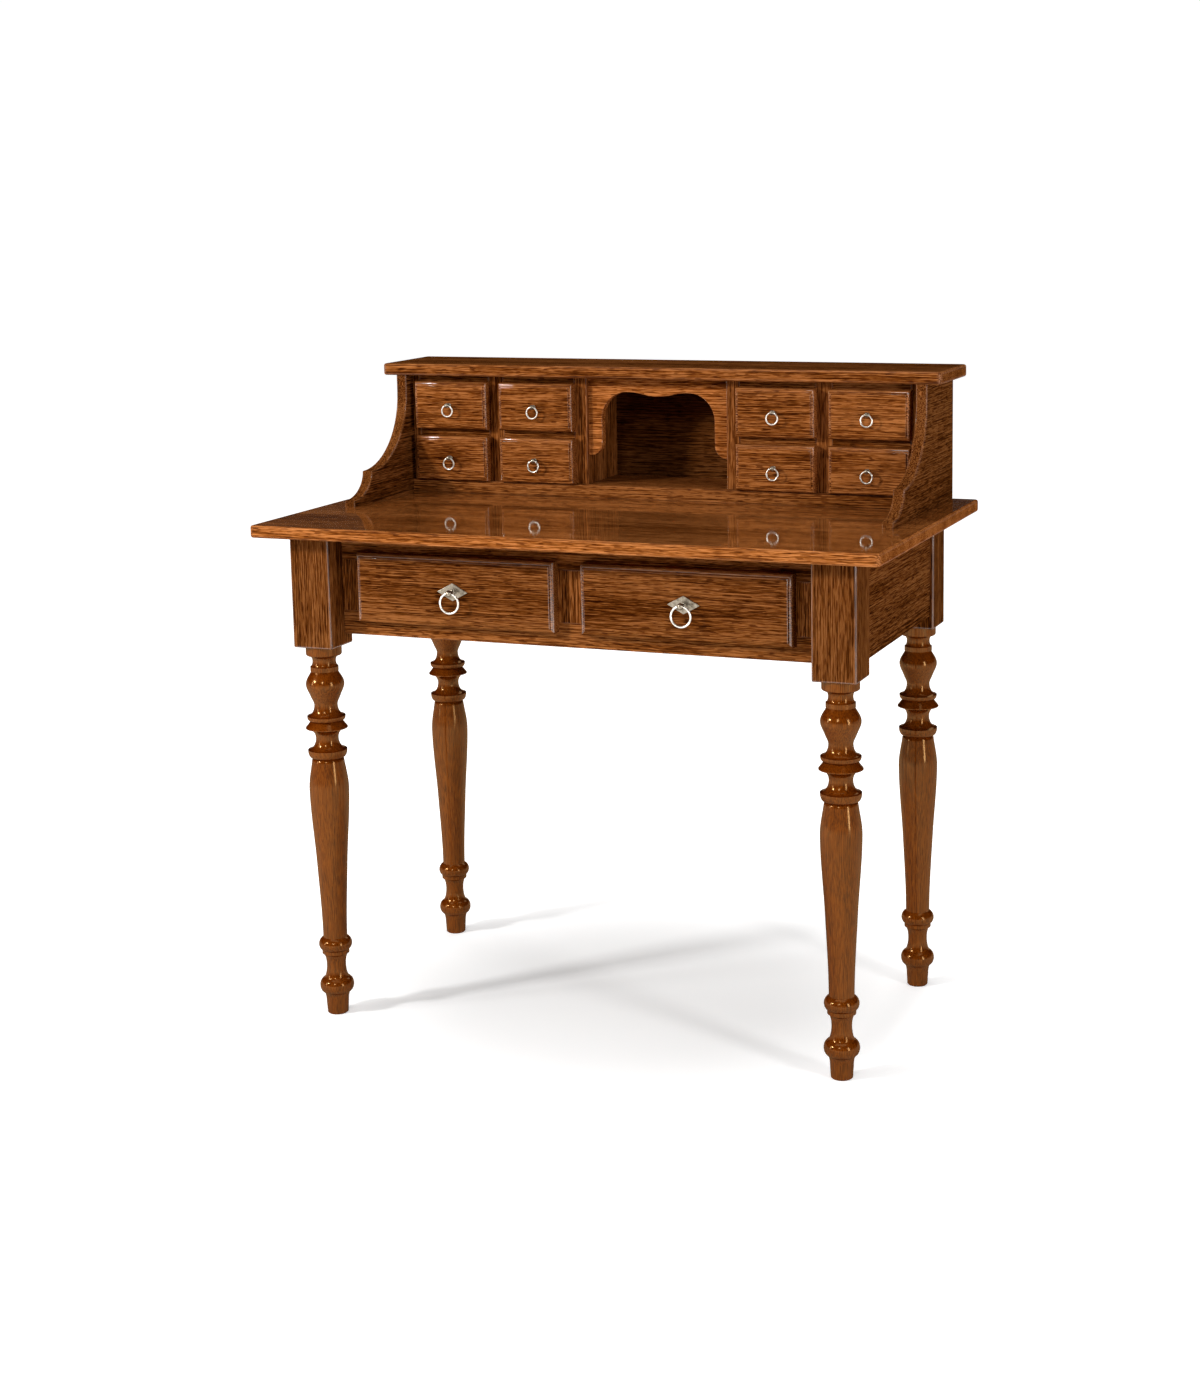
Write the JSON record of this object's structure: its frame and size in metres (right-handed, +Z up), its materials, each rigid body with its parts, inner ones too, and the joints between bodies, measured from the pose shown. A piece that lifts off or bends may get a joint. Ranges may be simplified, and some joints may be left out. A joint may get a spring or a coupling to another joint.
{
  "type": "bonheur du jour",
  "caption": "Writing table on turned legs with drawers under the slab and a low case of small drawers round an arched pigeonhole along the back; drawers slide and ring pulls swing",
  "frame": {"origin": "on the floor under the middle of the slab", "axes": "+Z up; the front with the large drawers faces -Y; +X to the right seen from the front"},
  "size_m": [0.982, 0.56, 0.992],
  "materials": {
    "walnut_stain": "walnut-brown stain with dark straight grain under gloss varnish",
    "drawer_wood": "plain unvarnished wood",
    "back_board": "thin stained board, satin",
    "old_silver": "pale antique silver, darker in the hollows"
  },
  "bodies": {
    "frame": {"desk_top": "walnut_stain", "leg_front_left": "walnut_stain", "leg_front_right": "walnut_stain", "leg_back_left": "walnut_stain", "leg_back_right": "walnut_stain", "front_rails": "walnut_stain", "back_rail": "walnut_stain", "side_rails": "walnut_stain", "front_stiles": "walnut_stain", "case_top": "walnut_stain", "case_side_left": "walnut_stain", "case_side_right": "walnut_stain", "case_plugs": "walnut_stain", "case_floor": "walnut_stain", "case_dividers": "walnut_stain", "row_shelves": "walnut_stain", "case_top_rails": "walnut_stain", "arch_apron": "walnut_stain", "drawer_runners": "drawer_wood", "case_back": "back_board"},
    "drawer_left": {"drawer_left_front": "walnut_stain", "drawer_left_box": "drawer_wood", "drawer_left_pull": "old_silver"},
    "drawer_left_ring_body": {"drawer_left_ring": "old_silver"},
    "drawer_right": {"drawer_right_front": "walnut_stain", "drawer_right_box": "drawer_wood", "drawer_right_pull": "old_silver"},
    "drawer_right_ring_body": {"drawer_right_ring": "old_silver"},
    "small_drawer_1": {"small_drawer_1_front": "walnut_stain", "small_drawer_1_box": "drawer_wood", "small_drawer_1_pull": "old_silver"},
    "small_drawer_1_ring_body": {"small_drawer_1_ring": "old_silver"},
    "small_drawer_2": {"small_drawer_2_front": "walnut_stain", "small_drawer_2_box": "drawer_wood", "small_drawer_2_pull": "old_silver"},
    "small_drawer_2_ring_body": {"small_drawer_2_ring": "old_silver"},
    "small_drawer_3": {"small_drawer_3_front": "walnut_stain", "small_drawer_3_box": "drawer_wood", "small_drawer_3_pull": "old_silver"},
    "small_drawer_3_ring_body": {"small_drawer_3_ring": "old_silver"},
    "small_drawer_4": {"small_drawer_4_front": "walnut_stain", "small_drawer_4_box": "drawer_wood", "small_drawer_4_pull": "old_silver"},
    "small_drawer_4_ring_body": {"small_drawer_4_ring": "old_silver"},
    "small_drawer_5": {"small_drawer_5_front": "walnut_stain", "small_drawer_5_box": "drawer_wood", "small_drawer_5_pull": "old_silver"},
    "small_drawer_5_ring_body": {"small_drawer_5_ring": "old_silver"},
    "small_drawer_6": {"small_drawer_6_front": "walnut_stain", "small_drawer_6_box": "drawer_wood", "small_drawer_6_pull": "old_silver"},
    "small_drawer_6_ring_body": {"small_drawer_6_ring": "old_silver"},
    "small_drawer_7": {"small_drawer_7_front": "walnut_stain", "small_drawer_7_box": "drawer_wood", "small_drawer_7_pull": "old_silver"},
    "small_drawer_7_ring_body": {"small_drawer_7_ring": "old_silver"},
    "small_drawer_8": {"small_drawer_8_front": "walnut_stain", "small_drawer_8_box": "drawer_wood", "small_drawer_8_pull": "old_silver"},
    "small_drawer_8_ring_body": {"small_drawer_8_ring": "old_silver"}
  },
  "joints": [
    {"name": "drawer_left_slide", "type": "slide", "parent": "frame", "child": "drawer_left", "axis": [0, -1, 0], "range_m": [0, 0.27]},
    {"name": "drawer_left_ring_swing", "type": "hinge", "parent": "drawer_left", "child": "drawer_left_ring_body", "pos_m": [-0.1835, -0.232, 0.6835], "axis": [-1, 0, 0], "range_deg": [-20, 200]},
    {"name": "drawer_right_slide", "type": "slide", "parent": "frame", "child": "drawer_right", "axis": [0, -1, 0], "range_m": [0, 0.27]},
    {"name": "drawer_right_ring_swing", "type": "hinge", "parent": "drawer_right", "child": "drawer_right_ring_body", "pos_m": [0.1835, -0.232, 0.6835], "axis": [-1, 0, 0], "range_deg": [-20, 200]},
    {"name": "small_drawer_1_slide", "type": "slide", "parent": "frame", "child": "small_drawer_1", "axis": [0, -1, 0], "range_m": [0, 0.08]},
    {"name": "small_drawer_1_ring_swing", "type": "hinge", "parent": "small_drawer_1", "child": "small_drawer_1_ring_body", "pos_m": [-0.35475, 0.119, 0.92525], "axis": [-1, 0, 0], "range_deg": [-20, 200]},
    {"name": "small_drawer_2_slide", "type": "slide", "parent": "frame", "child": "small_drawer_2", "axis": [0, -1, 0], "range_m": [0, 0.08]},
    {"name": "small_drawer_2_ring_swing", "type": "hinge", "parent": "small_drawer_2", "child": "small_drawer_2_ring_body", "pos_m": [-0.20325, 0.119, 0.92525], "axis": [-1, 0, 0], "range_deg": [-20, 200]},
    {"name": "small_drawer_3_slide", "type": "slide", "parent": "frame", "child": "small_drawer_3", "axis": [0, -1, 0], "range_m": [0, 0.08]},
    {"name": "small_drawer_3_ring_swing", "type": "hinge", "parent": "small_drawer_3", "child": "small_drawer_3_ring_body", "pos_m": [0.20325, 0.119, 0.92525], "axis": [-1, 0, 0], "range_deg": [-20, 200]},
    {"name": "small_drawer_4_slide", "type": "slide", "parent": "frame", "child": "small_drawer_4", "axis": [0, -1, 0], "range_m": [0, 0.08]},
    {"name": "small_drawer_4_ring_swing", "type": "hinge", "parent": "small_drawer_4", "child": "small_drawer_4_ring_body", "pos_m": [0.35475, 0.119, 0.92525], "axis": [-1, 0, 0], "range_deg": [-20, 200]},
    {"name": "small_drawer_5_slide", "type": "slide", "parent": "frame", "child": "small_drawer_5", "axis": [0, -1, 0], "range_m": [0, 0.08]},
    {"name": "small_drawer_5_ring_swing", "type": "hinge", "parent": "small_drawer_5", "child": "small_drawer_5_ring_body", "pos_m": [-0.35475, 0.119, 0.83875], "axis": [-1, 0, 0], "range_deg": [-20, 200]},
    {"name": "small_drawer_6_slide", "type": "slide", "parent": "frame", "child": "small_drawer_6", "axis": [0, -1, 0], "range_m": [0, 0.08]},
    {"name": "small_drawer_6_ring_swing", "type": "hinge", "parent": "small_drawer_6", "child": "small_drawer_6_ring_body", "pos_m": [-0.20325, 0.119, 0.83875], "axis": [-1, 0, 0], "range_deg": [-20, 200]},
    {"name": "small_drawer_7_slide", "type": "slide", "parent": "frame", "child": "small_drawer_7", "axis": [0, -1, 0], "range_m": [0, 0.08]},
    {"name": "small_drawer_7_ring_swing", "type": "hinge", "parent": "small_drawer_7", "child": "small_drawer_7_ring_body", "pos_m": [0.20325, 0.119, 0.83875], "axis": [-1, 0, 0], "range_deg": [-20, 200]},
    {"name": "small_drawer_8_slide", "type": "slide", "parent": "frame", "child": "small_drawer_8", "axis": [0, -1, 0], "range_m": [0, 0.08]},
    {"name": "small_drawer_8_ring_swing", "type": "hinge", "parent": "small_drawer_8", "child": "small_drawer_8_ring_body", "pos_m": [0.35475, 0.119, 0.83875], "axis": [-1, 0, 0], "range_deg": [-20, 200]}
  ]
}
